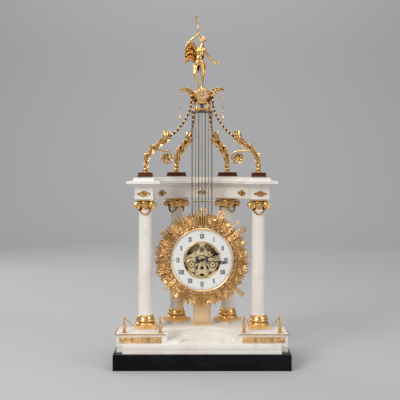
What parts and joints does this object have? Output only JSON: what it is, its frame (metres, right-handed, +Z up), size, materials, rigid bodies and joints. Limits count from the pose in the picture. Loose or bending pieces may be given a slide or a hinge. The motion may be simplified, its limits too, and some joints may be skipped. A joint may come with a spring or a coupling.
{
  "type": "skeleton clock",
  "caption": "Marble portico skeleton clock: scroll brackets and a crown carry a swinging gridiron pendulum whose sunburst rings a fixed enamel dial.",
  "frame": {"origin": "centre of the underside of the black plinth", "axes": "+Z up, -Y towards the viewer of the dial, +X to the viewer's right"},
  "size_m": [0.455, 0.24, 0.923],
  "materials": {
    "black_marble": "polished black marble",
    "white_marble": "polished white statuary marble with faint warm veins",
    "gilt_bronze": "fire-gilt bronze, burnished and matted",
    "matt_gilt_bronze": "fire-gilt bronze, mostly matted",
    "brass": "polished brass",
    "steel": "polished steel",
    "dark_steel": "blackened steel",
    "white_enamel": "fired white enamel on copper",
    "paste_stones": "faceted paste stones over foil",
    "dark_bronze": "dark patinated bronze"
  },
  "bodies": {
    "portico": {"black_plinth": "black_marble", "marble_step": "white_marble", "marble_platform": "white_marble", "frieze_block": "white_marble", "cornice": "white_marble", "column_shaft_front_left": "white_marble", "column_shaft_front_right": "white_marble", "column_shaft_rear_left": "white_marble", "column_shaft_rear_right": "white_marble", "frieze_panel_left": "gilt_bronze", "frieze_panel_right": "gilt_bronze", "gallery_left": "gilt_bronze", "gallery_right": "gilt_bronze", "column_foot_front_left": "gilt_bronze", "column_foot_front_right": "gilt_bronze", "column_foot_rear_left": "gilt_bronze", "column_foot_rear_right": "gilt_bronze", "column_capital_front_left": "gilt_bronze", "column_capital_front_right": "gilt_bronze", "column_capital_rear_left": "gilt_bronze", "column_capital_rear_right": "gilt_bronze", "front_lozenge_left": "gilt_bronze", "front_lozenge_right": "gilt_bronze", "return_lozenge_left": "gilt_bronze", "return_lozenge_right": "gilt_bronze", "frieze_rosette": "gilt_bronze", "scroll_bracket_front_left": "gilt_bronze", "scroll_bracket_front_right": "gilt_bronze", "scroll_bracket_rear_left": "gilt_bronze", "scroll_bracket_rear_right": "gilt_bronze", "stay_rod_front_left": "gilt_bronze", "stay_rod_front_right": "gilt_bronze", "stay_rod_rear_left": "gilt_bronze", "stay_rod_rear_right": "gilt_bronze", "crown": "gilt_bronze", "winged_figure": "gilt_bronze", "front_plate": "gilt_bronze", "dial_bezel": "gilt_bronze", "support_pillar": "matt_gilt_bronze", "movement_drum": "brass", "back_plate": "brass", "bell": "brass", "enamel_dial": "white_enamel"},
    "pendulum": {"gridiron_steel": "steel", "gridiron_brass": "brass", "sunburst": "matt_gilt_bronze", "jewel_ring": "paste_stones"},
    "anchor": {"anchor_and_crutch": "steel"},
    "minute_arbor": {"centre_wheel": "brass", "minute_hand": "dark_steel"},
    "hour_pipe": {"hour_hand": "dark_steel"},
    "going_barrel": {"going_barrel": "brass"},
    "intermediate_arbor": {"intermediate_wheel": "brass"},
    "third_arbor": {"third_wheel": "brass"},
    "escape_arbor": {"escape_wheel": "brass"},
    "strike_barrel": {"strike_barrel": "brass"},
    "strike_arbor": {"strike_wheel": "brass"},
    "hammer": {"hammer": "steel"},
    "tassel_left": {"tassel_left": "gilt_bronze"},
    "tassel_right": {"tassel_right": "gilt_bronze"}
  },
  "joints": [
    {"name": "pendulum_swing", "type": "hinge", "parent": "portico", "child": "pendulum", "pos_m": [0, 0.008, 0.69], "axis": [0, 1, 0], "range_deg": [-1.5, 1.5]},
    {"name": "anchor_rock", "type": "hinge", "parent": "portico", "child": "anchor", "pos_m": [0, 0.015, 0.3164], "axis": [0, 1, 0], "range_deg": [-5.6, 5.6]},
    {"name": "minute_turn", "type": "hinge", "parent": "portico", "child": "minute_arbor", "pos_m": [0, 0, 0.2704], "axis": [0, 1, 0], "continuous": true},
    {"name": "hour_turn", "type": "hinge", "parent": "portico", "child": "hour_pipe", "pos_m": [0, 0, 0.2704], "axis": [0, 1, 0], "continuous": true},
    {"name": "going_barrel_turn", "type": "hinge", "parent": "portico", "child": "going_barrel", "pos_m": [-0.0285, 0, 0.2579], "axis": [0, 1, 0], "continuous": true},
    {"name": "intermediate_turn", "type": "hinge", "parent": "portico", "child": "intermediate_arbor", "pos_m": [-0.00023, 0, 0.2524], "axis": [0, 1, 0], "continuous": true},
    {"name": "third_turn", "type": "hinge", "parent": "portico", "child": "third_arbor", "pos_m": [-0.0103, 0, 0.28516], "axis": [0, 1, 0], "continuous": true},
    {"name": "escape_turn", "type": "hinge", "parent": "portico", "child": "escape_arbor", "pos_m": [0, 0, 0.2974], "axis": [0, 1, 0], "continuous": true},
    {"name": "strike_barrel_turn", "type": "hinge", "parent": "portico", "child": "strike_barrel", "pos_m": [0.0285, 0, 0.2579], "axis": [0, 1, 0], "continuous": true},
    {"name": "strike_wheel_turn", "type": "hinge", "parent": "portico", "child": "strike_arbor", "pos_m": [0.0335, 0, 0.28626], "axis": [0, 1, 0], "continuous": true},
    {"name": "hammer_lift", "type": "hinge", "parent": "portico", "child": "hammer", "pos_m": [0.03, 0.046, 0.2324], "axis": [0, 1, 0], "range_deg": [-3, 12], "stiffness_Nm_per_rad": 0.02},
    {"name": "tassel_left_swing", "type": "hinge", "parent": "portico", "child": "tassel_left", "pos_m": [-0.058, 0.008, 0.72504], "axis": [0, 1, 0], "range_deg": [-12, 12]},
    {"name": "tassel_right_swing", "type": "hinge", "parent": "portico", "child": "tassel_right", "pos_m": [0.058, 0.008, 0.72504], "axis": [0, 1, 0], "range_deg": [-12, 12]}
  ],
  "couplings": [
    {"joint": "anchor_rock", "follows": "pendulum_swing", "ratio": -3.6935},
    {"joint": "hour_turn", "follows": "minute_turn", "ratio": 0.083333},
    {"joint": "going_barrel_turn", "follows": "minute_turn", "ratio": 0.028571},
    {"joint": "intermediate_turn", "follows": "minute_turn", "ratio": -0.2},
    {"joint": "third_turn", "follows": "minute_turn", "ratio": -8},
    {"joint": "escape_turn", "follows": "minute_turn", "ratio": 72},
    {"joint": "strike_wheel_turn", "follows": "strike_barrel_turn", "ratio": -7}
  ]
}
